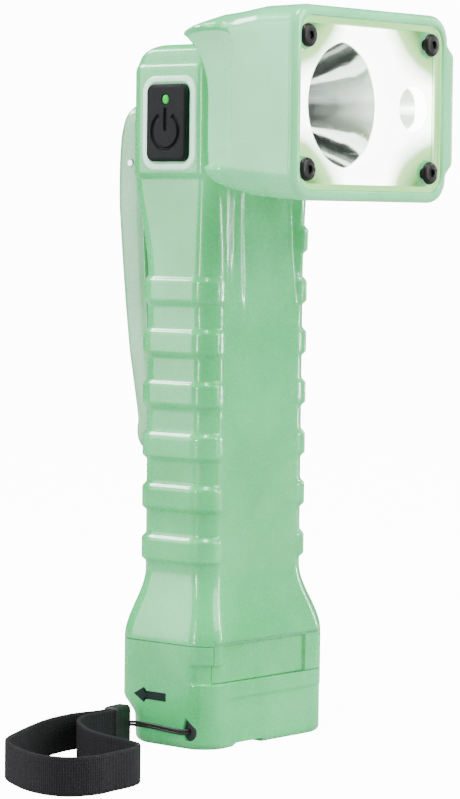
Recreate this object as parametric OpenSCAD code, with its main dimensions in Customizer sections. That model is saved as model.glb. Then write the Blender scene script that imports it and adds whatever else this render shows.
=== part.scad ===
// Right-angle firefighter flashlight, all sizes in mm.
// The handle stands on the floor at z = 0, the beam leaves toward -Y,
// the button is on the -X side and the clip is on the +Y side.

/* [Cells] */
// Cell diameter (mm)
cell_d = 14.5; // [14:0.1:15]
// Cell length with its button contact (mm)
cell_l = 50.5; // [49:0.1:52]

/* [Handle] */
// Handle width between the ribs (mm)
handle_w = 43; // [40:0.5:48]
// Handle depth between the ribs (mm)
handle_d = 25; // [24:0.5:29]
// Corner radius of the handle (mm)
handle_r = 6; // [3:0.5:8]
// Number of grip ribs
rib_count = 6; // [3:1:6]
// Distance from rib to rib (mm)
rib_pitch = 14.15; // [10:0.05:15]
// Height of one rib (mm)
rib_h = 5.2; // [3:0.1:7]
// How far a rib stands out (mm)
rib_out = 1.2; // [0.5:0.1:2]

/* [Base] */
// Base width (mm)
base_w = 53; // [50:0.5:58]
// Base depth (mm)
base_d = 34; // [32:0.5:38]
// Corner radius of the base (mm)
base_r = 7; // [4:0.5:9]
// Height of the seam above the floor (mm)
seam_z = 28.5; // [27:0.5:34]

/* [Head] */
// Head width (mm)
head_w = 66.4; // [64:0.2:74]
// Head height (mm)
head_h = 51.1; // [49:0.1:58]
// Distance from the hinge to the front of the head (mm)
head_reach = 51.8; // [50:0.2:60]
// Hinge line in front of or behind the handle centre (mm)
hinge_y = 1; // [0:0.2:2]
// Diameter of the neck drum (mm)
drum_d = 21.6; // [18:0.2:22]
// Diameter of the head pins (mm)
pivot_d = 4; // [3:0.1:5]

/* [Optics] */
// Aperture of the deep reflector (mm)
spot_d = 33.2; // [28:0.2:34]
// Aperture of the small reflector (mm)
flood_d = 12.2; // [9:0.1:12.5]
// Lens screw head diameter (mm)
screw_head_d = 6.3; // [5:0.1:7]

/* [Button] */
// Button width (mm)
button_w = 14.2; // [10:0.1:15]
// Button height (mm)
button_h = 21; // [16:0.1:23]
// Button travel (mm)
button_travel = 1.2; // [0.8:0.1:1.4]

/* [Clip] */
// Clip width (mm)
clip_w = 22; // [20:0.5:26]
// Clip pin diameter (mm)
clip_pin_d = 2.4; // [2:0.1:3]
// Distance from the clip pin down to the tail (mm)
clip_drop = 79.6; // [70:0.2:84]

/* [Lanyard] */
// Webbing width (mm)
strap_w = 10; // [8:0.5:12]
// Webbing thickness (mm)
strap_t = 1.3; // [1:0.1:1.8]
// Cord diameter (mm)
cord_d = 1.4; // [1:0.1:1.8]

/* [Hidden] */
// radial running clearance of pins
run_fit = 0.05;
// clearance between bodies that slide
slide_gap = 0.3;
// cell stack
cell_x = cell_d / 2 + 0.35;
cell_z = seam_z + 0.3;
stack_top = cell_z + 2 * cell_l + 0.1;
spring_h = 4.6;
contact_z = stack_top + spring_h;
roof_z = contact_z + 0.4;
tray_top = roof_z + 1.6;
board_z = tray_top + 3.5;
cavity_top = board_z + 16.5;
// tray and compartment
tray_w = 2 * cell_x + cell_d + 2.8;
tray_d = cell_d + 2.8;
bay_w = tray_w + 0.6;
bay_d = tray_d + 0.6;
// hinge and ears
drum_r = drum_d / 2;
slot_r = drum_r + 0.8;
slot_w = 24;
drum_w = slot_w - 1.2;
hinge_z = cavity_top + 19.5;
ear_w = handle_w + 1;
ear_front = -handle_d / 2;
ear_back = handle_d / 2 + 1.5;
ear_d = ear_back - ear_front;
ear_y = (ear_back + ear_front) / 2;
ear_low = hinge_z - 29;
ear_top = hinge_z + 15;
// base details
rail_in = bay_w / 2 + 2.85;
rail_web = 1.6;
rail_lip = 1.3;
rail_low = seam_z - 6;
apron_half = rail_in + rail_web + rail_lip + 0.3;
apron_low = seam_z - 10.2;
apron_y = -base_d / 2 + 2.3;
door_top = seam_z - 0.5;
door_wall = 2.3;
gasket_in_w = bay_w + 1.5;
gasket_in_d = bay_d + 2.2;
gasket_w = 1.8;
flare_top = seam_z + 18.5;
rib_z = seam_z + 22.2;
// head
head_front = hinge_y - head_reach;
head_mid = hinge_z - 1.9;
cut_r = 20;
wall_back = hinge_y - cut_r;
cavity_back = wall_back - 3.2;
lens_w = head_w - 5.8;
lens_h = head_h - 6.1;
lens_back = head_front + 2.6;
lens_front = lens_back - 2.2;
shelf_y = lens_back + 0.8;
screw_x = lens_w / 2 - 4.1;
screw_z = lens_h / 2 - 5.2;
inner_w = lens_w - 3.2;
inner_h = lens_h - 3;
spot_x = -7.5;
flood_x = 20.3;
collar_y = shelf_y + 4;
board_face = cavity_back - 4.2;
throat_y = board_face - 1.2;
// button
button_y = 1.8;
button_z = hinge_z - 6.4;
frame_w = button_w + 5.3;
frame_h = button_h + 4.5;
frame_back = -ear_w / 2 + 1.1;
stem_back = -slot_w / 2 - 3.3;
// clip
pin_y = 26.6;
pin_z = hinge_z - 16.9;
lug_out = clip_w / 2 - 2.4;
lug_in = 4.2;
lug_r = clip_pin_d / 2 + 1.2;
// lanyard
hole_y = -base_d / 2 + 6.5;
hole_z = 5;
sleeve_x = -base_w / 2 - 3;

$fn = 64;

// rounded rectangle about the origin
module rrect(w, h, r) {
    square([w - 2 * r, h], center = true);
    square([w, h - 2 * r], center = true);
    for (sx = [-1, 1])
        for (sy = [-1, 1])
            translate([sx * (w / 2 - r), sy * (h / 2 - r)])
                circle(r = r);
}

// flat shape drawn in Y and Z, pulled along +X
module along_x(x0, len) {
    translate([x0, 0, 0])
        rotate([90, 0, 90])
            linear_extrude(height = len)
                children();
}

// flat shape drawn in X and Z, pulled along +Y from y0
module along_y(y0, len) {
    translate([0, y0 + len, 0])
        rotate([90, 0, 0])
            linear_extrude(height = len)
                children();
}

// rounded block that stands on z0
module pillar(w, d, r, z0, h) {
    translate([0, 0, z0])
        linear_extrude(height = h)
            rrect(w, d, r);
}

// rod along X
module rod_x(r, x0, len) {
    translate([x0, 0, 0])
        rotate([0, 90, 0])
            cylinder(r = r, h = len);
}

// rod along Y
module rod_y(r, y0, len) {
    translate([0, y0, 0])
        rotate([-90, 0, 0])
            cylinder(r = r, h = len);
}

// smooth curve through the points of a route
function knot_at(p, i) = p[max(0, min(len(p) - 1, i))];
function curve_point(a, b, c, d, t) =
    0.5 * (2 * b + (c - a) * t + (2 * a - 5 * b + 4 * c - d) * t * t
    + (3 * b - a - 3 * c + d) * t * t * t);
function curve(p, n) = concat(
    [for (i = [0 : len(p) - 2], k = [0 : n - 1])
        curve_point(knot_at(p, i - 1), p[i], p[i + 1], knot_at(p, i + 2), k / n)],
    [p[len(p) - 1]]
);
function heading(p, i) =
    let (d = knot_at(p, i + 1) - knot_at(p, i - 1)) d / norm(d);
function sideways(t) =
    let (s = cross([0, 0, 1], t)) s / norm(s);

// ring of eight points round a route point, half width a, half height b
function ring(p, i, a, b) =
    let (t = heading(p, i), s = sideways(t), u = cross(t, s))
    [for (k = [0 : 7])
        let (w = 45 * k + 22.5, cx = cos(w), cz = sin(w), m = max(abs(cx), abs(cz)))
        p[i] + s * a * cx / (0.25 + 0.75 * m) + u * b * cz / (0.25 + 0.75 * m)];

// solid swept along a route
module sweep(p, a, b) {
    n = len(p);
    points = [for (i = [0 : n - 1]) each ring(p, i, a, b)];
    sides = [for (i = [0 : n - 2], k = [0 : 7])
        each [
            [i * 8 + k, i * 8 + (k + 1) % 8, (i + 1) * 8 + (k + 1) % 8],
            [i * 8 + k, (i + 1) * 8 + (k + 1) % 8, (i + 1) * 8 + k]
        ]];
    first = [for (k = [1 : 6]) [0, k + 1, k]];
    last = [for (k = [1 : 6]) [(n - 1) * 8, (n - 1) * 8 + k, (n - 1) * 8 + k + 1]];
    polyhedron(points = points, faces = concat(sides, first, last), convexity = 6);
}

// outline of the ears seen from the side
module ear_side() {
    r = 5;
    translate([ear_front, ear_low])
        square([ear_d, ear_top - ear_low - r]);
    translate([ear_front + r, ear_low])
        square([ear_d - 2 * r, ear_top - ear_low]);
    translate([ear_front + r, ear_top - r])
        circle(r = r);
    translate([ear_back - r, ear_top - r])
        circle(r = r);
}

// outside of the handle above the seam
module handle_body() {
    pillar(handle_w, handle_d, handle_r, seam_z, ear_low + 6 - seam_z);
    for (k = [0 : rib_count - 1])
        pillar(handle_w + 2 * rib_out, handle_d + 2 * rib_out, handle_r + rib_out,
            rib_z + k * rib_pitch, rib_h);
    pillar(base_w, base_d, base_r, seam_z, 2);
    hull() {
        pillar(base_w, base_d, base_r, seam_z + 1.2, 0.8);
        pillar(handle_w, handle_d, handle_r, flare_top, 0.8);
    }
    intersection() {
        translate([0, ear_y, 0])
            pillar(ear_w, ear_d, 6, ear_low, 60);
        along_x(-ear_w / 2, ear_w)
            ear_side();
        along_y(ear_front - 1, ear_d + 2)
            translate([0, ear_top - 40])
                rrect(ear_w, 80, 3.5);
    }
    for (s = [-1, 1])
        along_x(s * (lug_in + lug_out) / 2 - (lug_out - lug_in) / 2, lug_out - lug_in) {
            polygon([
                [handle_d / 2 - 1, pin_z - 10],
                [pin_y, pin_z - lug_r],
                [pin_y, pin_z + lug_r],
                [handle_d / 2 - 1, pin_z + 9]
            ]);
            translate([pin_y, pin_z])
                circle(r = lug_r);
        }
}

// rails and front apron below the seam
module handle_rails() {
    intersection() {
        translate([-apron_half, -base_d / 2 - 1, apron_low])
            cube([2 * apron_half, apron_y + base_d / 2 + 1, seam_z - apron_low + 0.5]);
        pillar(base_w, base_d, base_r, apron_low, 12);
    }
    for (s = [-1, 1]) {
        translate([s * (rail_in + rail_web / 2) - rail_web / 2, apron_y - 0.5, rail_low])
            cube([rail_web, base_d / 2 - 5.5 - apron_y + 0.5, seam_z - rail_low + 0.5]);
        translate([s * (rail_in + (rail_web + rail_lip) / 2) - (rail_web + rail_lip) / 2,
            apron_y - 0.5, rail_low])
            cube([rail_web + rail_lip, base_d / 2 - 5.5 - apron_y + 0.5, 2.1]);
    }
}

// space for the neck drum between the ears
module fork_slot() {
    translate([0, hinge_y, hinge_z])
        rod_x(slot_r, -slot_w / 2, slot_w);
    translate([-slot_w / 2, ear_front - 2, hinge_z])
        cube([slot_w, hinge_y + slot_r - ear_front + 2, 20]);
    translate([-slot_w / 2, ear_front - 2, hinge_z - slot_r])
        cube([slot_w, hinge_y - ear_front + 2, slot_r + 1]);
}

module handle_shell() {
    color([0.66, 0.9, 0.74])
    difference() {
        union() {
            handle_body();
            handle_rails();
        }
        pillar(bay_w, bay_d, 3, seam_z - 1, cavity_top - seam_z + 1);
        fork_slot();
        translate([0, 0, cavity_top - 1])
            cylinder(r = 2.2, h = 12);
        translate([0, button_y, button_z])
            along_x(frame_back - 4, 4)
                rrect(frame_w + 0.3, frame_h + 0.3, 4);
        translate([0, button_y, button_z])
            along_x(frame_back - 0.4, stem_back - frame_back + 0.4)
                rrect(button_w + 2.9, button_h + 2.7, 3.2);
        translate([stem_back - 1.6, button_y, cavity_top - 2])
            cylinder(r = 1.4, h = 8);
        translate([0, hinge_y, hinge_z])
            rod_x(pivot_d / 2 + run_fit, slot_w / 2 - 1, 8.2);
        translate([0, hinge_y, hinge_z])
            rod_x(pivot_d / 2 + run_fit, -slot_w / 2 - 2.6, 4);
        translate([0, pin_y, pin_z])
            rod_x(clip_pin_d / 2 + run_fit, -clip_w, 2 * clip_w);
        difference() {
            pillar(gasket_in_w + 2 * gasket_w, gasket_in_d + 2 * gasket_w, 4.8, seam_z - 1, 1.8);
            pillar(gasket_in_w, gasket_in_d, 3, seam_z - 2, 4);
        }
    }
}

module battery_tray() {
    color([0.2, 0.22, 0.22])
    difference() {
        pillar(tray_w, tray_d, 2.6, seam_z + 0.4, tray_top - seam_z - 0.4);
        for (s = [-1, 1])
            translate([s * cell_x, 0, seam_z - 1])
                cylinder(d = cell_d + 0.4, h = roof_z - seam_z + 1);
        translate([-3, -cell_d / 2 + 1.5, seam_z - 1])
            cube([6, cell_d - 3, roof_z - seam_z + 1]);
        for (s = [-1, 1])
            translate([s * cell_x, 0, roof_z - 1])
                cylinder(d = 2.4, h = 4);
    }
}

// one cell with its button contact up
module one_cell() {
    cylinder(d = cell_d, h = cell_l - 1);
    translate([0, 0, cell_l - 1.2])
        cylinder(d = 5.4, h = 1.2);
}

module battery_cells() {
    color([0.25, 0.35, 0.6])
    for (k = [0, 1]) {
        translate([cell_x, 0, cell_z + k * (cell_l + 0.1)])
            one_cell();
        translate([-cell_x, 0, cell_z + k * (cell_l + 0.1) + cell_l])
            rotate([180, 0, 0])
                one_cell();
    }
}

module top_contacts() {
    color([0.85, 0.83, 0.75])
    for (s = [-1, 1])
        translate([s * cell_x, 0, contact_z]) {
            cylinder(d = 9, h = 0.4);
            cylinder(d = 1.8, h = board_z - contact_z);
        }
}

module contact_springs() {
    turns = 4;
    color([0.8, 0.8, 0.82])
    for (s = [-1, 1])
        translate([s * cell_x, 0, stack_top])
            sweep([for (k = [0 : 14 * turns])
                [3.1 * cos(k * 360 / 14), 3.1 * sin(k * 360 / 14),
                0.42 + k * (spring_h - 0.84) / (14 * turns)]], 0.4, 0.4);
}

module driver_board() {
    color([0.1, 0.4, 0.2])
    pillar(bay_w - 1, bay_d - 1, 2, board_z, 1.6);
}

module board_parts() {
    color([0.12, 0.12, 0.13]) {
        translate([-11, -4, board_z + 1.6])
            cube([8, 8, 1.4]);
        translate([4, 0, board_z + 1.6])
            cylinder(d = 8, h = 4.2);
        translate([11, -5, board_z + 1.6])
            cube([3, 2, 1.2]);
        translate([11, 2.5, board_z + 1.6])
            cube([3, 2, 1.2]);
    }
}

module button_frame() {
    color([0.8, 0.93, 0.85])
    translate([0, button_y, button_z])
        along_x(frame_back - 1, 1)
            difference() {
                rrect(frame_w, frame_h, 3.9);
                rrect(button_w + 0.6, button_h + 0.6, 2.4);
            }
}

module tact_switch() {
    color([0.15, 0.15, 0.16])
    translate([0, button_y, button_z]) {
        along_x(stem_back - 1.1, 1)
            square([9, 16], center = true);
        along_x(stem_back - 3.2, 2.2)
            square([6, 6], center = true);
        rod_x(1.6, frame_back + 1.1 + button_travel,
            stem_back - 3.6 - frame_back - button_travel);
    }
}

module button_cap() {
    face = frame_back - 3.4;
    color([0.13, 0.14, 0.14])
    difference() {
        translate([0, button_y, button_z]) {
            along_x(face, frame_back + 0.9 - face)
                rrect(button_w, button_h, 2.1);
            along_x(frame_back + 0.1, 0.9)
                rrect(button_w + 2, button_h + 1.8, 2.8);
        }
        translate([0, button_y, button_z + button_h / 2 - 4.3])
            along_x(face - 1, 3.4)
                rrect(2.4, 2.8, 0.6);
    }
}

module indicator_lens() {
    color([0.1, 0.95, 0.3])
    translate([0, button_y, button_z + button_h / 2 - 4.3])
        along_x(frame_back - 3.5, 2.45)
            rrect(2.36, 2.76, 0.58);
}

// outer line of the clip, top to tail, measured from its pin
clip_out = [
    [0, 18.2], [2.4, 16.5], [4.6, 8], [5.2, 0], [5.2, -12], [4, -25],
    [2.6, -38.5], [0.9, -52], [-1.6, -65], [-2.8, -71.5], [-2.2, -75.4],
    [-3.6, -clip_drop]
];

module clip() {
    n = len(clip_out);
    strip = concat(clip_out, [for (k = [n - 1 : -1 : 0]) clip_out[k] - [2.4, 0]]);
    color([0.7, 0.92, 0.78])
    difference() {
        union() {
            translate([0, pin_y, pin_z])
                along_x(-clip_w / 2, clip_w)
                    polygon(strip);
            for (s = [-1, 1])
                translate([0, pin_y, pin_z])
                    along_x(s * (clip_w / 2 - 1) - 1, 2)
                        polygon(concat(clip_out, [
                            [-7.6, -clip_drop + 1], [-9.5, -66], [-7, -50],
                            [-4.5, -12], [-4, -4], [-4, 4], [-2.5, 12]
                        ]));
            translate([0, pin_y, pin_z])
                along_x(-clip_w / 2 + 1, clip_w - 2)
                    polygon([
                        [-3, -66], [-3.6, -clip_drop + 0.6], [-9.6, -clip_drop + 1.6],
                        [-11.6, -clip_drop + 3], [-11.6, -68.5], [-10, -66]
                    ]);
        }
        translate([0, pin_y, pin_z])
            rod_x(clip_pin_d / 2, -clip_w, 2 * clip_w);
        translate([0, pin_y - 12.6, pin_z - 72.6])
            rod_y(4.05, 0, 4.4);
    }
}

module clip_pin() {
    color([0.85, 0.85, 0.87])
    translate([0, pin_y, pin_z])
        rod_x(clip_pin_d / 2, -clip_w / 2 - 0.4, clip_w + 0.8);
}

module clip_spring() {
    turns = 3.25;
    steps = 52;
    coil = [for (k = [0 : steps])
        let (w = k * turns * 360 / steps)
        [2.1 * cos(w), 2.1 * sin(w), k * 4.6 / steps]];
    color([0.8, 0.8, 0.82])
    translate([-2.3, pin_y, pin_z])
        rotate([0, 90, 0])
            sweep(concat(
                [[2.1, -12, 0], [2.1, -8, 0], [2.1, -4, 0], [2.1, -0.8, 0]],
                coil,
                [[-0.8, 2.1, 4.6], [-1.7, 2.1, 4.6], [-2.6, 2.1, 4.6]]
            ), 0.4, 0.4);
}

module clip_magnet() {
    color([0.75, 0.75, 0.78])
    translate([0, pin_y - 11.5, pin_z - 72.6])
        rod_y(4, 0, 3.2);
}

// inside of the base cap below its deck
module door_room() {
    intersection() {
        pillar(base_w - 2 * door_wall, base_d - 2 * door_wall, base_r - 2, 3, seam_z);
        along_x(-base_w / 2, base_w)
            polygon([
                [-base_d / 2 + 1, 3], [base_d / 2 - 7, 3], [base_d / 2 - 6.6, 11.5],
                [base_d / 2 - 2.4, 15.8], [base_d / 2 - 2.4, seam_z - 4.5],
                [-base_d / 2 + 1, seam_z - 4.5]
            ]);
    }
}

module battery_door() {
    room = rail_in - slide_gap;
    color([0.64, 0.89, 0.73])
    difference() {
        union() {
            difference() {
                intersection() {
                    pillar(base_w, base_d, base_r, 0, door_top);
                    along_x(-base_w / 2, base_w)
                        polygon([
                            [-base_d / 2, 1.4], [-base_d / 2 + 1.4, 0], [base_d / 2 - 6, 0],
                            [base_d / 2 - 4.6, 1.6], [base_d / 2 - 4.2, 11],
                            [base_d / 2, 15], [base_d / 2, door_top], [-base_d / 2, door_top]
                        ]);
                    along_y(-base_d / 2, base_d)
                        polygon([
                            [-base_w / 2 + 1.6, 0], [base_w / 2 - 1.6, 0],
                            [base_w / 2, 1.8], [base_w / 2, door_top],
                            [-base_w / 2, door_top], [-base_w / 2, 1.8]
                        ]);
                }
                door_room();
            }
            for (s = [-1 : 1])
                translate([s * 11 - 1, -base_d / 2 + 1, 2])
                    cube([2, base_d - 8, seam_z - 6]);
        }
        for (s = [-1, 1]) {
            translate([s * (room + 1.25) - 1.25, -base_d / 2 - 1, seam_z - 5])
                cube([2.5, base_d - 4, 8]);
            translate([s * (room + 2) - 2, -base_d / 2 - 1, rail_low - slide_gap])
                cube([4, base_d - 4, 2.1 + 2 * slide_gap]);
        }
        translate([-apron_half - slide_gap, -base_d / 2 - 1, apron_low - slide_gap])
            cube([2 * (apron_half + slide_gap), apron_y + base_d / 2 + 1 + slide_gap, 20]);
        translate([0, hole_y, hole_z])
            rod_x(1.9, -base_w / 2 - 1, 6);
        pillar(24.2, 8.2, 1.6, door_top - 0.6, 2);
    }
}

module door_contact() {
    color([0.85, 0.83, 0.75])
    pillar(24, 8, 1.5, door_top - 0.6, 0.7);
}

module door_gasket() {
    color([0.1, 0.1, 0.1])
    difference() {
        pillar(gasket_in_w + 2 * gasket_w - 0.1, gasket_in_d + 2 * gasket_w - 0.1, 4.7,
            seam_z - 0.1, 0.9);
        pillar(gasket_in_w + 0.1, gasket_in_d + 0.1, 3.1, seam_z - 1, 3);
    }
}

// outline of the head seen from the side
module head_side() {
    low = head_mid - head_h / 2;
    high = head_mid + head_h / 2;
    difference() {
        union() {
            polygon([
                [head_front, low], [head_front + 18, low + 1.6],
                [head_front + 25, low + 3.2], [wall_back - 0.6, low + 6.2],
                [wall_back, low + 9], [wall_back + 6.4, high - 6],
                [wall_back + 6, high - 4], [wall_back + 3, high - 2.4],
                [head_front + 25, high - 1], [head_front + 14, high], [head_front, high]
            ]);
        }
        translate([hinge_y, hinge_z])
            circle(r = cut_r);
    }
}

module head_body() {
    intersection() {
        along_x(-head_w / 2, head_w)
            head_side();
        along_y(head_front, 60)
            translate([0, head_mid])
                rrect(head_w, head_h, 7);
    }
    for (s = [-1, 1])
        hull() {
            translate([0, head_front + 10.5, head_mid])
                along_x(s > 0 ? head_w / 2 - 1 : -head_w / 2, 1)
                    rrect(19, 36, 5);
            translate([0, head_front + 9, head_mid])
                along_x(s > 0 ? head_w / 2 + 2 : -head_w / 2 - 3, 1)
                    rrect(13, 29, 4);
        }
}

module head_shell() {
    color([0.66, 0.9, 0.74])
    difference() {
        union() {
            difference() {
                head_body();
                along_y(head_front - 1, shelf_y - head_front + 1)
                    translate([0, head_mid])
                        rrect(lens_w + 0.4, lens_h + 0.4, 5.2);
                along_y(head_front - 1, cavity_back - head_front + 1)
                    translate([0, head_mid])
                        rrect(inner_w, inner_h, 4);
                for (s = [-1, 1])
                    translate([0, wall_back - 2, head_mid - 2])
                        along_x(s > 0 ? head_w / 2 - 1.2 : -head_w / 2 - 5, 6.2)
                            rrect(16, 30, 3);
            }
            intersection() {
                for (sx = [-1, 1])
                    for (sz = [-1, 1])
                        translate([sx * screw_x, 0, head_mid + sz * screw_z])
                            rod_y(3.6, shelf_y, cavity_back - shelf_y + 1);
                along_y(head_front, 60)
                    translate([0, head_mid])
                        rrect(head_w - 2, head_h - 2, 6);
            }
            translate([-drum_w / 2, wall_back - 1, hinge_z - drum_r + 0.4])
                cube([drum_w, cut_r + 1, drum_d - 0.8]);
            translate([0, hinge_y, hinge_z])
                rod_x(drum_r, -drum_w / 2, drum_w);
        }
        for (sx = [-1, 1])
            for (sz = [-1, 1])
                translate([sx * screw_x, 0, head_mid + sz * screw_z])
                    rod_y(1.5 + run_fit, shelf_y - 1, 12);
        translate([0, hinge_y, hinge_z])
            rod_x(pivot_d / 2, -drum_w, 2 * drum_w);
        translate([0, 0, hinge_z])
            rod_y(2.5, cavity_back - 1, cut_r + 4);
    }
}

module pivot_pins() {
    color([0.8, 0.8, 0.82])
    translate([0, hinge_y, hinge_z]) {
        rod_x(pivot_d / 2, -slot_w / 2 - 2.4, 11.2);
        rod_x(pivot_d / 2, 3.2, 15.6);
    }
}

module friction_washers() {
    color([0.7, 0.7, 0.72])
    translate([0, hinge_y, hinge_z])
        for (s = [-1, 1])
            difference() {
                rod_x(6, s * (drum_w / 2 + 0.25) - 0.25, 0.5);
                rod_x(pivot_d / 2, s * (drum_w / 2 + 0.25) - 1, 2);
            }
}

// plate behind the emitters that clears the screw posts
module emitter_plate(y0, t, shrink) {
    along_y(y0, t)
        translate([0, head_mid]) {
            square([inner_w - 3 - shrink, 2 * screw_z - 8.4 - shrink], center = true);
            square([2 * screw_x - 8.4 - shrink, inner_h - 3 - shrink], center = true);
        }
}

module heat_sink() {
    color([0.72, 0.73, 0.75])
    emitter_plate(cavity_back - 2.6, 2.55, 0);
}

module led_board() {
    color([0.9, 0.92, 0.9])
    emitter_plate(cavity_back - 4.2, 1.6, 1);
}

// emitter with a base and a dome that looks toward -Y
module emitter(x, w, r) {
    translate([x, board_face, head_mid]) {
        translate([-w / 2, -0.8, -w / 2])
            cube([w, 0.8, w]);
        intersection() {
            translate([0, -0.8, 0])
                sphere(r = r);
            translate([-w, -0.8 - 2 * r, -w])
                cube([2 * w, 2 * r, 2 * w]);
        }
    }
}

module spot_led() {
    color([1, 0.95, 0.6])
    emitter(spot_x, 4.2, 1.7);
}

module flood_led() {
    color([1, 0.95, 0.6])
    emitter(flood_x, 2.6, 1);
}

// bowl of revolution with parabola walls, mouth toward -Y
module bowl(x, mouth, throat) {
    depth = throat_y - collar_y - 0.2;
    steps = 16;
    inner = [for (k = [0 : steps])
        let (h = depth * k / steps)
        [sqrt(throat * throat + (mouth * mouth - throat * throat) * k / steps), h]];
    outer = [for (k = [steps : -1 : 0]) inner[k] + [0.9, 0]];
    translate([x, throat_y, head_mid])
        rotate([90, 0, 0])
            rotate_extrude()
                polygon(concat(inner, outer));
}

module spot_reflector() {
    color([0.9, 0.91, 0.92])
    bowl(spot_x, spot_d / 2 - 0.2, 3.3);
}

module flood_reflector() {
    color([0.9, 0.91, 0.92])
    bowl(flood_x, flood_d / 2 - 0.2, 2.1);
}

module mask_plate() {
    color([0.95, 0.97, 0.93])
    difference() {
        union() {
            along_y(shelf_y + 0.2, 1)
                translate([0, head_mid])
                    rrect(inner_w - 0.6, inner_h - 0.6, 3.6);
            translate([spot_x, 0, head_mid])
                rod_y(spot_d / 2 + 0.8, shelf_y + 0.4, collar_y - shelf_y - 0.4);
            translate([flood_x, 0, head_mid])
                rod_y(flood_d / 2 + 0.8, shelf_y + 0.4, collar_y - shelf_y - 0.4);
        }
        for (sx = [-1, 1])
            for (sz = [-1, 1])
                translate([sx * screw_x, 0, head_mid + sz * screw_z])
                    rod_y(3.9, shelf_y - 1, 4);
        translate([spot_x, 0, head_mid])
            rod_y(spot_d / 2, shelf_y - 1, 8);
        translate([flood_x, 0, head_mid])
            rod_y(flood_d / 2, shelf_y - 1, 8);
    }
}

module lens_gasket() {
    color([0.8, 0.92, 0.84])
    along_y(lens_back, shelf_y - lens_back)
        translate([0, head_mid])
            difference() {
                rrect(lens_w, lens_h, 5);
                rrect(inner_w - 0.2, inner_h - 0.2, 4);
            }
}

module lens() {
    color([0.9, 0.97, 0.95, 0.4])
    difference() {
        along_y(lens_front, lens_back - lens_front)
            translate([0, head_mid])
                rrect(lens_w, lens_h, 5);
        for (sx = [-1, 1])
            for (sz = [-1, 1])
                translate([sx * screw_x, 0, head_mid + sz * screw_z])
                    rod_y(1.7, lens_front - 1, 5);
    }
}

module lens_screws() {
    color([0.08, 0.08, 0.09])
    for (sx = [-1, 1])
        for (sz = [-1, 1])
            translate([sx * screw_x, 0, head_mid + sz * screw_z])
                difference() {
                    union() {
                        rod_y(screw_head_d / 2, lens_front - 1.8, 1.8);
                        rod_y(1.5, lens_front - 0.5, 11);
                    }
                    translate([0, lens_front - 2, 0])
                        rotate([-90, 0, 0])
                            cylinder(r = 1.5, h = 1.2, $fn = 6);
                }
}

cord_route = [
    [-base_w / 2 + 3.4, hole_y, hole_z], [-base_w / 2 + 1, hole_y, hole_z],
    [-base_w / 2 - 0.6, hole_y + 0.3, hole_z], [-base_w / 2 - 1.5, hole_y + 1.8, hole_z],
    [-base_w / 2 - 1.6, hole_y + 6, hole_z + 0.2], [-base_w / 2 - 1.6, hole_y + 12, hole_z + 0.5],
    [-base_w / 2 - 1.9, hole_y + 17, hole_z + 0.6], [sleeve_x + 1, hole_y + 19.2, hole_z + 0.6]
];

module lanyard_cord() {
    color([0.1, 0.1, 0.1])
    sweep(curve(cord_route, 4), cord_d / 2, cord_d / 2);
}

module lanyard_sleeve() {
    color([0.08, 0.08, 0.08])
    translate([sleeve_x - 3.5, hole_y + 20, strap_w / 2 + 0.5])
        rotate([0, 90, 8])
            translate([0, 0, -3.5])
                linear_extrude(height = 7)
                    rrect(strap_w + 0.6, 4.6, 1.2);
}

strap_route = [
    [sleeve_x - 7.2, 9.1], [-41.5, 9.8], [-50, 11], [-62, 8.6], [-79, 1.2], [-90.4, -5.5],
    [-97.3, -16.5], [-100.4, -27], [-98.6, -34.6], [-92, -38], [-85, -37.6],
    [-77, -36.8], [-71.4, -33.6], [-69, -27], [-67.6, -19], [-64.6, -10],
    [-57.5, 0.5], [-50, 6.4], [-43, 7.4], [sleeve_x - 7.3, 7.2]
];

module lanyard_strap() {
    route = [for (p = strap_route) [p[0], p[1], strap_w / 2 + 0.3]];
    color([0.1, 0.1, 0.1])
    sweep(curve(route, 4), strap_t / 2, strap_w / 2);
}

handle_shell();
battery_tray();
battery_cells();
top_contacts();
contact_springs();
driver_board();
board_parts();
button_frame();
tact_switch();
button_cap();
indicator_lens();
clip();
clip_pin();
clip_spring();
clip_magnet();
battery_door();
door_contact();
door_gasket();
head_shell();
pivot_pins();
friction_washers();
heat_sink();
led_board();
spot_led();
flood_led();
spot_reflector();
flood_reflector();
mask_plate();
lens_gasket();
lens();
lens_screws();
lanyard_cord();
lanyard_sleeve();
lanyard_strap();
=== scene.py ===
import math
import bmesh
import bpy
import numpy as np
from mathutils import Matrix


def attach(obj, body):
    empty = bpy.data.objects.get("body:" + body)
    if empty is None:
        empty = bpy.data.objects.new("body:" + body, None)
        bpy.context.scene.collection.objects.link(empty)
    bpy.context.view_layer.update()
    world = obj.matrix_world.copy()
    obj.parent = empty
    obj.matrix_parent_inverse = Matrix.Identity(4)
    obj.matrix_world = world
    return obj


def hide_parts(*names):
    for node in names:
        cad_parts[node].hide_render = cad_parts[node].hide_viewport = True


# Right-angle firefighter flashlight. Sizes below are in millimetres, meshes are written in metres.
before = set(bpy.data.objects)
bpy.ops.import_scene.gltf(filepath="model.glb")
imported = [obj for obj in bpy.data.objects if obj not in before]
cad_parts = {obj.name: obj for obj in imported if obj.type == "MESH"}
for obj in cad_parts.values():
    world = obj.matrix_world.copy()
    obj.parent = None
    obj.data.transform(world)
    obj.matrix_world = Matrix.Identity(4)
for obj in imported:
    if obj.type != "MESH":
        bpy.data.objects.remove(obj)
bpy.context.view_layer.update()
scene = bpy.context.scene
mm = 0.001
print("frame loaded:", len(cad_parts), "CAD nodes")

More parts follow.
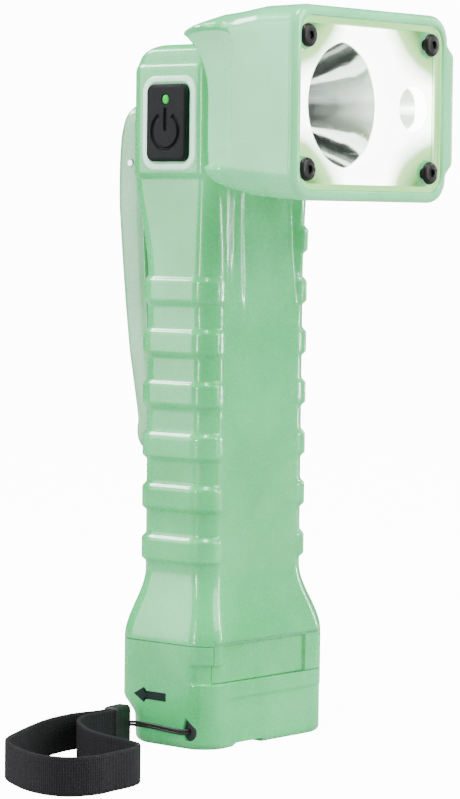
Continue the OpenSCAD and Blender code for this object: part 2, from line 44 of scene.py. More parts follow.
cameraFacts = {"place": (-638.6, -553.4, 142.8), "turn": (86.6763, -0.6489, -49.1233), "lens": 137.3}
lensData = bpy.data.cameras.new("mainCamera")
lensData.lens = cameraFacts["lens"]
lensData.sensor_width = 36
lensData.clip_start = 0.05
lensData.clip_end = 20
mainCamera = bpy.data.objects.new("mainCamera", lensData)
mainCamera.location = [v * mm for v in cameraFacts["place"]]
mainCamera.rotation_euler = [math.radians(v) for v in cameraFacts["turn"]]
scene.collection.objects.link(mainCamera)
scene.camera = mainCamera


# 0 below low, 1 above high, and the curve 3t^2 - 2t^3 between them
def ease(x, low, high):
    t = np.clip((x - low) / (high - low), 0, 1)
    return t * t * (3 - 2 * t)


# 1 between low and high with soft ends of the given width outside them
def band(x, low, high, soft):
    return ease(x, low - soft, low) * (1 - ease(x, high, high + soft))


# inset of a quarter-circle edge: radius - sqrt(radius^2 - s^2), where s grows past the start of the rounding
def rounding(s, radius):
    s = np.clip(s, 0, radius)
    return radius - np.sqrt(np.maximum(radius * radius - s * s, 0))


# parts broadcast to one shape and stacked on a last axis, as the coordinates of points
def spread(*parts):
    return np.stack(np.broadcast_arrays(*parts), -1)


# codes for one rounded rectangle: point = code * (half size - radius) + radius * direction
def loopCode(across, deep, corner):
    quarter = np.linspace(0, np.pi / 2, corner, endpoint=False)
    a = np.linspace(-1, 1, across, endpoint=False)
    b = np.linspace(-1, 1, deep, endpoint=False)
    c, d, e = np.ones(corner), np.ones(deep), np.ones(across)
    codeA = np.concatenate([d, c, -a, -c, -d, -c, a, c])
    codeB = np.concatenate([b, c, e, c, -b, -c, -e, -c])
    turn = np.concatenate([b * 0, quarter, a * 0 + np.pi / 2, quarter + np.pi / 2,
                           b * 0 + np.pi, quarter + np.pi, a * 0 + 1.5 * np.pi, quarter + 1.5 * np.pi])
    return codeA, codeB, np.cos(turn), np.sin(turn)


# a mesh object from arrays in millimetres, smooth shaded, with edges sharper than the angle left crisp
def meshObject(name, points, quads, tris=(), crease=38, marks=None):
    mesh = bpy.data.meshes.new(name)
    faces = np.asarray(quads).tolist() + np.asarray(tris).reshape(-1, 3).tolist()
    mesh.from_pydata((np.asarray(points) * mm).tolist(), [], faces)
    mesh.polygons.foreach_set("use_smooth", np.ones(len(mesh.polygons), bool))
    for key, values in (marks or {}).items():
        mesh.attributes.new(key, "FLOAT", "POINT").data.foreach_set("value", np.asarray(values, np.float32))
    mesh.set_sharp_from_angle(angle=math.radians(crease))
    mesh.update()
    piece = bpy.data.objects.new(name, mesh)
    scene.collection.objects.link(piece)
    return piece


# closed skin over a grid of rows: each row is a closed loop, and the ends close on a pole or, for a ring, on each other
def gridPiece(name, grid, ring=False, crease=38, marks=None):
    rows, cols = grid.shape[:2]
    index = np.arange(rows * cols).reshape(rows, cols)
    after = np.roll(index, -1, axis=1)
    points = grid.reshape(-1, 3)
    if ring:
        up, upAfter = np.roll(index, -1, axis=0), np.roll(after, -1, axis=0)
        quads = spread(index, after, upAfter, up).reshape(-1, 4)
        return meshObject(name, points, quads, (), crease, marks)
    quads = spread(index[:-1], after[:-1], after[1:], index[1:]).reshape(-1, 4)
    count = rows * cols
    points = np.vstack([points, grid[0].mean(0), grid[-1].mean(0)])
    low = spread(after[0], index[0], np.full(cols, count))
    high = spread(index[-1], after[-1], np.full(cols, count + 1))
    if marks:
        marks = {k: np.concatenate([v.ravel(), [v[0].mean(), v[-1].mean()]]) for k, v in marks.items()}
    return meshObject(name, points, quads, np.vstack([low, high]), crease, marks)


# normals turned outward with bmesh, after the doubles are merged
def outward(piece):
    work = bmesh.new()
    work.from_mesh(piece.data)
    bmesh.ops.remove_doubles(work, verts=work.verts, dist=1e-7)
    bmesh.ops.recalc_face_normals(work, faces=work.faces)
    work.to_mesh(piece.data)
    work.free()
    return piece


# outline pulled along one axis with rounded ends: a row at depth s is the outline moved in by the inset there
def barPiece(name, outline, axis, low, high, edge=0.4, steps=4, crease=38):
    shape = np.asarray(outline, float)
    run = np.roll(shape, -1, axis=0) - np.roll(shape, 1, axis=0)
    area = np.sum(shape[:, 0] * np.roll(shape[:, 1], -1) - np.roll(shape[:, 0], -1) * shape[:, 1])
    side = spread(run[:, 1], -run[:, 0]) * np.sign(area)
    side /= np.maximum(np.linalg.norm(side, axis=1, keepdims=True), 1e-9)
    s = edge * np.sin(np.linspace(0, np.pi / 2, steps + 1))
    cut = rounding(s, edge)
    place = np.concatenate([low + edge - s[::-1], high - edge + s])
    inset = np.concatenate([cut[::-1], cut])
    flat = shape[None] - side[None] * inset[:, None, None]
    rest = np.broadcast_to(place[:, None, None], flat.shape[:2] + (1,))
    order = {"x": (2, 0, 1), "y": (0, 2, 1), "z": (0, 1, 2)}[axis]
    grid = np.concatenate([flat, rest], -1)[..., list(order)]
    return outward(gridPiece(name, grid, crease=crease))


# rounded rectangle as an outline, about a middle point
def pad(middle, width, height, radius, corner=6):
    a, b, c, s = loopCode(1, 1, corner)
    return spread(middle[0] + a * (width / 2 - radius) + radius * c,
                     middle[1] + b * (height / 2 - radius) + radius * s)


# surface of revolution about a line along axis "x" or "y" through a middle: radius and place follow the profile
def turnedPiece(name, profile, middle, axis="y", around=64, ring=False, crease=38):
    shape = np.asarray(profile, float)
    w = np.linspace(0, 2 * np.pi, around, endpoint=False)
    r, along = shape[:, :1], shape[:, 1:2]
    if axis == "y":
        grid = spread(middle[0] + r * np.cos(w), middle[1] + along, middle[2] + r * np.sin(w))
    else:
        grid = spread(middle[0] + along, middle[1] + r * np.cos(w), middle[2] + r * np.sin(w))
    return outward(gridPiece(name, grid, ring=ring, crease=crease))


# several pieces become one mesh
def joined(name, pieces):
    work = bmesh.new()
    for piece in pieces:
        work.from_mesh(piece.data)
    mesh = bpy.data.meshes.new(name)
    work.to_mesh(mesh)
    work.free()
    for piece in pieces:
        bpy.data.objects.remove(piece)
    result = bpy.data.objects.new(name, mesh)
    scene.collection.objects.link(result)
    return result


# cutters are taken away from a piece, and the result is applied
def carve(piece, cutters, crease=38):
    for cutter in cutters:
        cut = piece.modifiers.new("cut", "BOOLEAN")
        cut.operation, cut.solver, cut.object = "DIFFERENCE", "MANIFOLD", cutter
    bpy.context.view_layer.update()
    shaped = bpy.data.meshes.new_from_object(piece.evaluated_get(bpy.context.evaluated_depsgraph_get()))
    piece.modifiers.clear()
    piece.data = shaped
    for cutter in cutters:
        bpy.data.objects.remove(cutter)
    shaped.polygons.foreach_set("use_smooth", np.ones(len(shaped.polygons), bool))
    shaped.set_sharp_from_angle(angle=math.radians(crease))
    return piece


# Catmull-Rom curve through the points, with the same number of steps in each span
def curveThrough(points, steps):
    p = np.asarray(points, float)
    p = np.vstack([p[:1], p, p[-1:]])
    t = np.linspace(0, 1, steps, endpoint=False)[None, :, None]
    a, b, c, d = p[:-3, None], p[1:-2, None], p[2:-1, None], p[3:, None]
    curve = 0.5 * (2 * b + (c - a) * t + (2 * a - 5 * b + 4 * c - d) * t * t + (3 * b - a - 3 * c + d) * t ** 3)
    return np.vstack([curve.reshape(-1, 3), p[-1:]])


# unit tangents, a sideways direction square to the tangent and the guide, and the third direction
def frames(path, guide):
    step = np.gradient(path, axis=0)
    step /= np.linalg.norm(step, axis=1, keepdims=True)
    side = np.cross(np.asarray(guide, float), step)
    side /= np.linalg.norm(side, axis=1, keepdims=True)
    return step, side, np.cross(step, side)


# distance along a path at each of its points
def travelled(path):
    return np.concatenate([[0], np.cumsum(np.linalg.norm(np.diff(path, axis=0), axis=1))])


# a new shader node of a kind
def add(tree, kind):
    return tree.nodes.new("ShaderNode" + kind)


# values written on a node's inputs, with underscores for the spaces in their names
def put(node, **values):
    for key, value in values.items():
        node.inputs[key.replace("_", " ")].default_value = value


# an input given a number, or linked to a socket
def feed(tree, slot, value):
    if isinstance(value, (int, float)):
        slot.default_value = value
    else:
        tree.links.new(value, slot)


# one math node whose inputs are numbers or sockets, and its result
def calc(tree, operation, *values):
    node = add(tree, "Math")
    node.operation = operation
    for slot, value in zip(node.inputs, values):
        feed(tree, slot, value)
    return node.outputs[0]


# a map-range node between two pairs of numbers, and its result
def remap(tree, value, low, high, toLow=0, toHigh=1):
    node = add(tree, "MapRange")
    for number, bound in enumerate((low, high, toLow, toHigh), 1):
        node.inputs[number].default_value = bound
    tree.links.new(value, node.inputs[0])
    return node.outputs[0]


# a mix of two colours by a mask, and the node itself
def blend(tree, mask, low=None, high=None):
    node = add(tree, "Mix")
    node.data_type = "RGBA"
    for number, colour in ((6, low), (7, high)):
        if colour:
            node.inputs[number].default_value = (*colour, 1)
    tree.links.new(mask, node.inputs[0])
    return node


# noise in the object's own coordinates, its scale a number or a socket
def noise(tree, scale, detail=2, roughness=0.5):
    where = add(tree, "TexCoord")
    node = add(tree, "TexNoise")
    put(node, Detail=detail, Roughness=roughness)
    tree.links.new(where.outputs["Object"], node.inputs["Vector"])
    feed(tree, node.inputs["Scale"], scale)
    return node.outputs["Fac"]


# a node group with float inputs and outputs, its input node and its output node
def maskGroup(name, inputs, outputs):
    group = bpy.data.node_groups.new(name, "ShaderNodeTree")
    for key, value in inputs.items():
        group.interface.new_socket(key, in_out="INPUT", socket_type="NodeSocketFloat").default_value = value
    for key in outputs:
        group.interface.new_socket(key, in_out="OUTPUT", socket_type="NodeSocketFloat")
    return group, group.nodes.new("NodeGroupInput").outputs, group.nodes.new("NodeGroupOutput").inputs


# mottle: slow cloud and fine grain of an object-space noise, as two masks and a height
def mottleGroup():
    group, given, out = maskGroup("mottle", {"cloudSize": 60, "grainSize": 2500}, ("cloud", "grain", "height"))
    cloud, grain = noise(group, given["cloudSize"], 3), noise(group, given["grainSize"], 2)
    soft = calc(group, "MULTIPLY", cloud, 0.25)
    group.links.new(remap(group, cloud, 0.32, 0.68), out["cloud"])
    group.links.new(grain, out["grain"])
    group.links.new(calc(group, "MULTIPLY_ADD", grain, 0.75, soft), out["height"])
    return group


# scuff: thin patchy marks where two noises cross, for worn and handled places
def scuffGroup():
    group, given, out = maskGroup("scuff", {"size": 400, "amount": 0.3}, ("mask",))
    patch, line = noise(group, 90, 2), noise(group, given["size"], 6, 0.7)
    both = calc(group, "MULTIPLY", remap(group, line, 0.55, 0.8), patch)
    group.links.new(calc(group, "MULTIPLY", both, given["amount"]), out["mask"])
    return group


# ribbing: cross ribs of corded webbing from the distance along it, broken by thread noise; the mask lightens the crests
# as a painted highlight
def ribbingGroup():
    group, given, out = maskGroup("ribbing", {"pitch": 1}, ("height", "mask"))
    along, across = add(group, "Attribute"), add(group, "Attribute")
    along.attribute_name, across.attribute_name = "along", "across"
    rib = calc(group, "PINGPONG", calc(group, "DIVIDE", along.outputs["Fac"], given["pitch"]), 0.5)
    warp = calc(group, "PINGPONG", calc(group, "DIVIDE", across.outputs["Fac"], 0.8), 0.5)
    weave = calc(group, "MULTIPLY_ADD", warp, 0.35, rib)
    total = calc(group, "MULTIPLY_ADD", noise(group, 1500, 4), 0.4, weave)
    group.links.new(total, out["height"])
    group.links.new(total, out["mask"])
    return group


mottle, scuff, ribbing = mottleGroup(), scuffGroup(), ribbingGroup()


# Principled material whose colour runs between two tones by the cloud mask, with grain bump and scuffed gloss
def finish(name, dark, light, rough=(0.4, 0.5), cloud=60, grain=2500, bump=0.05, depth=0.00005,
           marks=0.3, **fixed):
    material = bpy.data.materials.new(name)
    material.use_nodes = True
    tree = material.node_tree
    links, shader = tree.links, tree.nodes["Principled BSDF"]
    pattern, wear = add(tree, "Group"), add(tree, "Group")
    pattern.node_tree, wear.node_tree = mottle, scuff
    put(pattern, cloudSize=cloud, grainSize=grain)
    put(wear, amount=marks)
    links.new(blend(tree, pattern.outputs["cloud"], dark, light).outputs[2], shader.inputs["Base Color"])
    gloss = remap(tree, pattern.outputs["grain"], 0, 1, *rough)
    links.new(calc(tree, "ADD", gloss, wear.outputs["mask"]), shader.inputs["Roughness"])
    rise = add(tree, "Bump")
    put(rise, Strength=bump, Distance=depth)
    links.new(pattern.outputs["height"], rise.inputs["Height"])
    links.new(rise.outputs[0], shader.inputs["Normal"])
    put(shader, **fixed)
    return material


# milky luminous plastic: deep scatter, soft gloss, and a faint painted glow (emission) that follows the clouding,
# standing in for light scattered through the plastic
def glowPlastic(name, dark, light, glow, scatter=0.0013):
    material = finish(name, dark, light, rough=(0.22, 0.32), cloud=38, grain=1600, bump=0.05, depth=0.00005,
                      Subsurface_Weight=0.8, Subsurface_Scale=scatter, Subsurface_Radius=(0.3, 1.0, 0.5), IOR=1.5,
                      Specular_IOR_Level=0.35, Coat_Weight=0.7, Coat_Roughness=0.07)
    tree = material.node_tree
    shader = tree.nodes["Principled BSDF"]
    pattern = next(n for n in tree.nodes if n.type == "GROUP" and n.node_tree == mottle)
    paintedGlow = blend(tree, pattern.outputs["cloud"], (0.10, 0.66, 0.25), (0.22, 0.90, 0.40))
    tree.links.new(paintedGlow.outputs[2], shader.inputs["Emission Color"])
    put(shader, Emission_Strength=glow)
    return material


# the last number is the painted glow strength: faint on body and clip, stronger on the head, strongest on the pale
# button frame
bodyPlastic = glowPlastic("glowPlasticBody", (0.03, 0.50, 0.13), (0.07, 0.62, 0.21), 0.16)
headPlastic = glowPlastic("glowPlasticHead", (0.05, 0.52, 0.17), (0.12, 0.68, 0.29), 0.5)
clipPlastic = glowPlastic("glowPlasticClip", (0.14, 0.42, 0.19), (0.25, 0.56, 0.32), 0.16)
framePlastic = glowPlastic("glowPlasticFrame", (0.62, 0.88, 0.74), (0.80, 0.95, 0.86), 0.75)


# painted glow on the head: emission deep green at the back, pale green by the window, mixed by the place along the beam
def glowAhead(material, near, far, deep, pale):
    tree = material.node_tree
    where, split = add(tree, "TexCoord"), add(tree, "SeparateXYZ")
    tree.links.new(where.outputs["Object"], split.inputs[0])
    tone = blend(tree, remap(tree, split.outputs["Y"], far * mm, near * mm), deep, pale)
    tree.links.new(tone.outputs[2], tree.nodes["Principled BSDF"].inputs["Emission Color"])


glowAhead(headPlastic, -52, -14, (0.05, 0.42, 0.16), (0.42, 0.95, 0.52))
darkPlastic = finish("mouldedDark", (0.02, 0.024, 0.024), (0.035, 0.04, 0.04))
rubber = finish("buttonRubber", (0.005, 0.006, 0.007), (0.010, 0.012, 0.013), rough=(0.5, 0.65), grain=2600,
                bump=0.35, depth=0.00012, marks=0.15, Specular_IOR_Level=0.16)
softBlack = finish("sleeveBlack", (0.008, 0.008, 0.009), (0.015, 0.015, 0.016), rough=(0.45, 0.6), bump=0.2)
signalGreen = finish("signalGreen", (0.0, 0.40, 0.03), (0.0, 0.50, 0.05), rough=(0.3, 0.4),
                     Emission_Color=(0.0, 1.0, 0.06, 1), Emission_Strength=0.25, Specular_IOR_Level=0.2)
steel = finish("springSteel", (0.62, 0.63, 0.65), (0.74, 0.75, 0.77), rough=(0.14, 0.26), Metallic=1.0)
contactMetal = finish("contactMetal", (0.66, 0.6, 0.45), (0.78, 0.73, 0.6), rough=(0.25, 0.4), Metallic=1.0)
sinkMetal = finish("sinkMetal", (0.55, 0.56, 0.58), (0.66, 0.67, 0.69), rough=(0.35, 0.5), Metallic=1.0,
                   Anisotropic=0.4)
boardGreen = finish("boardGreen", (0.01, 0.10, 0.045), (0.02, 0.15, 0.07), rough=(0.3, 0.4), grain=1200, bump=0.15)
whiteMask = finish("whiteMask", (0.78, 0.78, 0.76), (0.86, 0.86, 0.84), rough=(0.3, 0.4))
cellJacket = finish("cellJacket", (0.03, 0.07, 0.18), (0.05, 0.10, 0.24), rough=(0.25, 0.35), Coat_Weight=0.5)
magnetMetal = finish("magnetMetal", (0.5, 0.5, 0.52), (0.62, 0.62, 0.64), rough=(0.2, 0.35), Metallic=1.0)
screwBlack = finish("screwBlack", (0.006, 0.006, 0.006), (0.014, 0.014, 0.013), rough=(0.22, 0.4), grain=3000,
                    bump=0.25, depth=0.0001, Specular_IOR_Level=0.18)
emitterYellow = finish("emitterYellow", (0.9, 0.75, 0.25), (1.0, 0.88, 0.4), rough=(0.25, 0.35), grain=4000,
                       Emission_Color=(1.0, 0.97, 0.82, 1), Emission_Strength=14.0)
# pale lens gasket; its emission is a painted glow
paleSilicone = finish("paleSilicone", (0.72, 0.90, 0.66), (0.85, 0.96, 0.78), rough=(0.35, 0.5),
                      Emission_Color=(0.45, 0.75, 0.34, 1), Emission_Strength=0.8)
arrowInk = finish("arrowInk", (0.002, 0.012, 0.011), (0.005, 0.02, 0.018), rough=(0.45, 0.6), Specular_IOR_Level=0.2)
webbing = finish("webbing", (0.002, 0.002, 0.003), (0.016, 0.016, 0.018), rough=(0.7, 0.85), cloud=300,
                 Specular_IOR_Level=0.2)


# corded webbing: ribs from the band's own length attribute drive the bump and lift the colour on the crests as a
# painted highlight, the thread noise adding the weave's own tone
def ribWebbing(material, pitch):
    tree = material.node_tree
    ribs = add(tree, "Group")
    ribs.node_tree = ribbing
    put(ribs, pitch=pitch)
    rise = next(n for n in tree.nodes if n.type == "BUMP")
    put(rise, Strength=0.9, Distance=0.0003)
    tree.links.new(ribs.outputs["height"], rise.inputs["Height"])
    tree.links.new(ribs.outputs["mask"], next(n for n in tree.nodes if n.type == "MIX").inputs[0])


# painted shade: darkens the pressed-in parts of a moulded face by the mesh's own "pressed" values
def shadePressed(material, shade):
    tree = material.node_tree
    tone = next(n for n in tree.nodes if n.type == "MIX")
    pressed = add(tree, "Attribute")
    pressed.attribute_name = "pressed"
    deep = blend(tree, pressed.outputs["Fac"], high=shade)
    tree.links.new(tone.outputs[2], deep.inputs[6])
    tree.links.new(deep.outputs[2], tree.nodes["Principled BSDF"].inputs["Base Color"])


shadePressed(rubber, (0.002, 0.002, 0.003))


# the object's own coordinates from a middle point, in half sizes where they are given
def coordinates(tree, middle, half=None):
    where, shift, split = add(tree, "TexCoord"), add(tree, "Mapping"), add(tree, "SeparateXYZ")
    shift.vector_type = "TEXTURE"
    put(shift, Location=[v * mm for v in middle])
    if half:
        put(shift, Scale=[v * mm for v in half])
    tree.links.new(where.outputs["Object"], shift.inputs["Vector"])
    tree.links.new(shift.outputs[0], split.inputs[0])
    return split.outputs


# colour ramp through the stops, and its result
def colourRamp(tree, value, stops):
    node = add(tree, "ValToRGB")
    for number, (place, colour) in enumerate(stops):
        stop = node.color_ramp.elements[number] if number < 2 else node.color_ramp.elements.new(place)
        stop.position = place
        stop.color = (*colour, 1)
    tree.links.new(value, node.inputs[0])
    return node.outputs[0]


# painted reflections in the bowls round the full turn: bright sides, dark top and bottom with a thin streak in each
paintedBowlReflections = [(0.0, 0.95), (0.10, 0.9), (0.16, 0.38), (0.21, 0.30), (0.225, 0.72), (0.24, 0.32), (0.29, 0.36),
             (0.33, 0.85), (0.40, 0.6), (0.47, 0.92), (0.55, 0.95), (0.60, 0.6), (0.66, 0.42), (0.72, 0.26),
             (0.78, 0.22), (0.795, 0.7), (0.81, 0.25), (0.86, 0.35), (0.90, 0.9), (1.0, 0.95)]


# bright reflector metal: colour runs by the angle round a middle, so painted reflection bands of light and dark stand
# round the bowl, and its glow is painted light
def bowlMetal(name, middle, glow=0.0):
    material = finish(name, (0.8, 0.82, 0.8), (0.9, 0.92, 0.9), rough=(0.05, 0.11), grain=1500, bump=0.05,
                      marks=0.25, Metallic=1.0, Emission_Color=(0.97, 1.0, 0.95, 1), Emission_Strength=glow)
    tree = material.node_tree
    place = coordinates(tree, middle)
    turn = remap(tree, calc(tree, "ARCTAN2", place["Z"], place["X"]), -math.pi, math.pi)
    stops = [(share, (shade ** 1.7 * 0.93, shade ** 1.7, shade ** 1.7 * 0.95)) for share, shade in paintedBowlReflections]
    tree.links.new(colourRamp(tree, turn, stops), tree.nodes["Principled BSDF"].inputs["Base Color"])
    return material


# clear window: plain glass with a faint scratch bump
def clearWindow(name):
    return finish(name, (0.93, 0.98, 0.95), (0.97, 1.0, 0.98), rough=(0.0, 0.02), grain=900, bump=0.01,
                  marks=0.03, Transmission_Weight=1.0, IOR=1.3)


# front plate with painted light: a painted glow bright in the middle and painted shade going green and dark toward the
# corners, by x^2 z^2 and a little noise
def glowPaintedPlate(name, middle, half):
    material = finish(name, (0.86, 0.9, 0.84), (0.95, 0.97, 0.93), rough=(0.3, 0.4), bump=0.03, Emission_Strength=9.0)
    tree = material.node_tree
    shader = tree.nodes["Principled BSDF"]
    place = coordinates(tree, middle, half)
    square = [calc(tree, "MULTIPLY", place[axis], place[axis]) for axis in ("X", "Z")]
    corner = calc(tree, "MULTIPLY_ADD", noise(tree, 70, 2), 0.12, calc(tree, "MULTIPLY", *square))
    stops = [(0.12, (1.0, 1.0, 0.97)), (0.60, (0.025, 0.08, 0.02)), (0.28, (0.14, 0.24, 0.09))]
    colour = colourRamp(tree, corner, stops)
    tree.links.new(colour, shader.inputs["Base Color"])
    tree.links.new(colour, shader.inputs["Emission Color"])
    return material


# puts a material on a piece, seats it on its body and hides the CAD parts it stands for
def settle(piece, material, body, stands=()):
    piece.data.materials.clear()
    piece.data.materials.append(material)
    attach(piece, body)
    if stands:
        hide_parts(*stands)
    return piece


print("materials made")

strapFacts = {"width": 10, "thick": 1.3, "height": 5.3, "edge": 0.35, "ribPitch": 0.62}
strapRoute = [(-36.7, 9.1), (-41.5, 9.8), (-50, 11), (-62, 8.6), (-79, 1.2), (-90.4, -5.5), (-97.3, -16.5),
              (-100.4, -27), (-98.6, -34.6), (-92, -38), (-85, -37.6), (-77, -36.8), (-71.4, -33.6), (-69, -27),
              (-67.6, -19), (-64.6, -10), (-57.5, 0.5), (-50, 6.4), (-43, 7.4), (-36.8, 7.2)]


# flat band: a thin rounded rectangle standing on its edge, carried along the route, with its length as an attribute
def bandPiece(name, route, wide, thick, steps=10):
    path = curveThrough(route, steps)
    step, side, up = frames(path, (0, 0, 1))
    a, b, c, s = loopCode(2, 18, 3)
    edge = strapFacts["edge"]
    out = a * (thick / 2 - edge) + edge * c
    high = b * (wide / 2 - edge) + edge * s
    length = travelled(path)
    grid = path[:, None] + side[:, None] * out[:, None] + up[:, None] * high[:, None]
    marks = {"along": np.repeat(length[:, None], len(a), 1), "across": np.repeat(high[None] + wide / 2, len(path), 0)}
    return gridPiece(name, grid, marks=marks, crease=60), path, length[-1]


strap, strapPath, strapLength = bandPiece(
    "lanyardWebbing", [(x, y, strapFacts["height"]) for x, y in strapRoute], strapFacts["width"] - 0.1,
    strapFacts["thick"] - 0.1)
ribWebbing(webbing, strapFacts["ribPitch"])
settle(strap, webbing, "door", ["lanyard_strap"])

# thin cord: a there-and-back loop from the sleeve, round the corner and through the hole in the cap
cordFacts = {"thick": 0.8, "rise": 0.41}
cordThere = [(-30.6, 8.6, 6.05), (-28.6, 7.4, 5.98), (-28.15, 1.5, 5.92), (-28.1, -4.5, 5.6), (-27.95, -8.6, 5.42),
             (-27.0, -10.25, 5.42), (-25.4, -10.5, 5.42), (-23.9, -10.5, 5.42)]
cordBack = [(-23.4, -10.5, 5.0)] + [(x, y, z - 2 * cordFacts["rise"]) for x, y, z in cordThere[::-1]]


# round cord: a circle carried along the path
def cordPiece(name, route, thick, guide, steps=6, around=10):
    path = curveThrough(route, steps)
    step, side, up = frames(path, guide)
    w = np.linspace(0, 2 * np.pi, around, endpoint=False)
    circle = side[:, None] * np.cos(w)[None, :, None] + up[:, None] * np.sin(w)[None, :, None]
    grid = path[:, None] + thick / 2 * circle
    length = travelled(path)
    marks = {"along": np.repeat(length[:, None], around, 1), "across": np.repeat(w[None], len(path), 0)}
    return outward(gridPiece(name, grid, marks=marks)), path, length[-1]


thinCord, thinPath, thinLength = cordPiece("lanyardCord", cordThere + cordBack, cordFacts["thick"], (1, 1, 0.0))
settle(thinCord, softBlack, "door", ["lanyard_cord"])

# sleeve over the two webbing ends, with a soft pinched rim at both ends
sleeveFacts = {"middle": (-33, 9.5, 5.5), "turn": 8, "long": 7, "wide": 10.6, "thick": 4.6, "round": 1.2,
               "rim": 0.7, "pinch": 0.12}


# rounded rectangle carried along the sleeve: rows pull in at the ends by the quarter-circle inset
def sleevePiece(name, facts):
    a, b, c, s = loopCode(6, 12, 5)
    half = facts["long"] / 2
    t = np.sin(np.linspace(-np.pi / 2, np.pi / 2, 21))
    inset = rounding(np.abs(t) * half - (half - facts["rim"]), facts["rim"])[:, None]
    ridge = facts["pinch"] * band(np.abs(t) * half, half - 1.6, half - 1.3, 0.3)[:, None]
    r = facts["round"]
    y = a * (facts["thick"] / 2 - r) + (r - inset - ridge) * c
    z = b * (facts["wide"] / 2 - r) + (r - inset - ridge) * s
    x = (t * half)[:, None]
    turn = math.radians(facts["turn"])
    mid = facts["middle"]
    turnedX = mid[0] + x * math.cos(turn) - y * math.sin(turn)
    turnedY = mid[1] + x * math.sin(turn) + y * math.cos(turn)
    return outward(gridPiece(name, spread(turnedX, turnedY, mid[2] + z), crease=60))


sleeve = settle(sleevePiece("lanyardSleeve", sleeveFacts), softBlack, "door", ["lanyard_sleeve"])
print("lanyard made: webbing", round(float(strapLength), 1), "mm, cord", round(float(thinLength), 1), "mm")

handleFacts = {
    "width": 43, "depth": 25, "corner": 6, "seam": 28.5, "flareLow": 28.5, "flareHigh": 47.5, "ribLow": 50.9,
    "ribStep": 14.15, "ribOut": 1.2, "ribs": 7, "earBack": 3.7, "backOut": 0.9, "bossLow": 156.0, "bossHigh": 184.5,
    "bossOut": 0.8, "scoopMiddle": 4.2, "scoopHalf": 10.5, "scoopDeep": 1.7, "grooveX": 13.4, "grooveDeep": 0.35,
    "faceHalf": 15.8, "faceEnd": 18.2,
}


# rounded rectangle carried up the handle: half sizes follow the flare and the ears,
# and ribs, scoop, groove and boss move the skin along its normal
def handleSkin(facts):
    topRows = 184 + 7 * np.sin(np.linspace(-0.1, np.pi / 2, 22))
    z = np.concatenate([np.arange(facts["seam"], 183, 0.45), topRows])[:, None]
    ca, cb, c, s = loopCode(44, 34, 8)
    flare = ease(facts["flareHigh"] - z, 0, facts["flareHigh"] - facts["flareLow"])
    ear = ease(z, 128, 158)
    halfX = facts["width"] / 2 + 5 * flare + 0.3 * ear - rounding(z - 187.5, 3.5)
    back = facts["depth"] / 2 + facts["backOut"] * (1 - flare) + 4.5 * flare + facts["earBack"] * ear
    back = back - rounding(z - 183, 8)
    front = facts["depth"] / 2 + 4.5 * flare - rounding(z - 186, 5)
    radius = facts["corner"] + flare - 1.4 * ear
    middle, halfY = (back - front) / 2, (back + front) / 2
    x = ca * (halfX - radius) + radius * c
    facing = np.clip(-s, 0, 1)
    crest = z * 0 + x * 0
    for k in range(facts["ribs"]):  # the last rib is on the +X side only
        low = facts["ribLow"] + k * facts["ribStep"]
        one = ease(z, low - 1.6, low - 0.2) * (1 - ease(z, low + 4.9, low + 6.6))
        crest = crest + (one if k < facts["ribs"] - 1 else one * ease(x, -2, 2))
    face = 1 - ease(np.abs(x), facts["faceHalf"], facts["faceEnd"])
    fade = 1 - facing ** 2 * face
    backFade = 1 - np.clip(s, 0, 1) ** 2 * face
    off = facts["ribOut"] * crest * fade * backFade
    off = off + facts["bossOut"] * np.clip(-c, 0, 1) ** 2 * band(z, facts["bossLow"], facts["bossHigh"], 1.4)
    across = 1 - ease(np.abs(x - facts["scoopMiddle"]), facts["scoopHalf"], facts["scoopHalf"] + 2.2)
    scoop = facts["scoopDeep"] * ease(z, 112, 146) * across * facing ** 2
    thin = facts["grooveDeep"] * ease(z, 116, 140) * (1 - ease(np.abs(x + facts["grooveX"]), 0.3, 1.1)) * facing ** 2
    off = off - scoop - thin
    y = middle + cb * (halfY - radius) + (radius + off) * s
    x = x + off * c
    return spread(x, y, z)


sunkDepth = 0.9  # how far the apron's panel and the cap's corner beside it lie back


# front apron below the seam: front edge on the base's rounded corner, with a sunk panel
def apronPiece(name):
    x = np.linspace(-22.4, 22.4, 91)
    z = np.concatenate([[18.3], np.linspace(18.5, 29.2, 28)])[:, None]
    edge = np.where(np.abs(x) > 19.5, -10 - np.sqrt(np.maximum(49 - (np.abs(x) - 19.5) ** 2, 0)), -17.0)
    corner = ease(-x, 19.6, 19.9) * ease(z, 22.8, 23.1)
    sunk = sunkDepth * (1 - ease(x, 15.1, 15.4)) * (1 - ease(z, 28.3, 28.6)) * (1 - corner)
    front = spread(x, edge + sunk, z)
    back = spread(x[::-1], -14.7, z)
    return outward(gridPiece(name, np.concatenate([front, back], 1), crease=30))


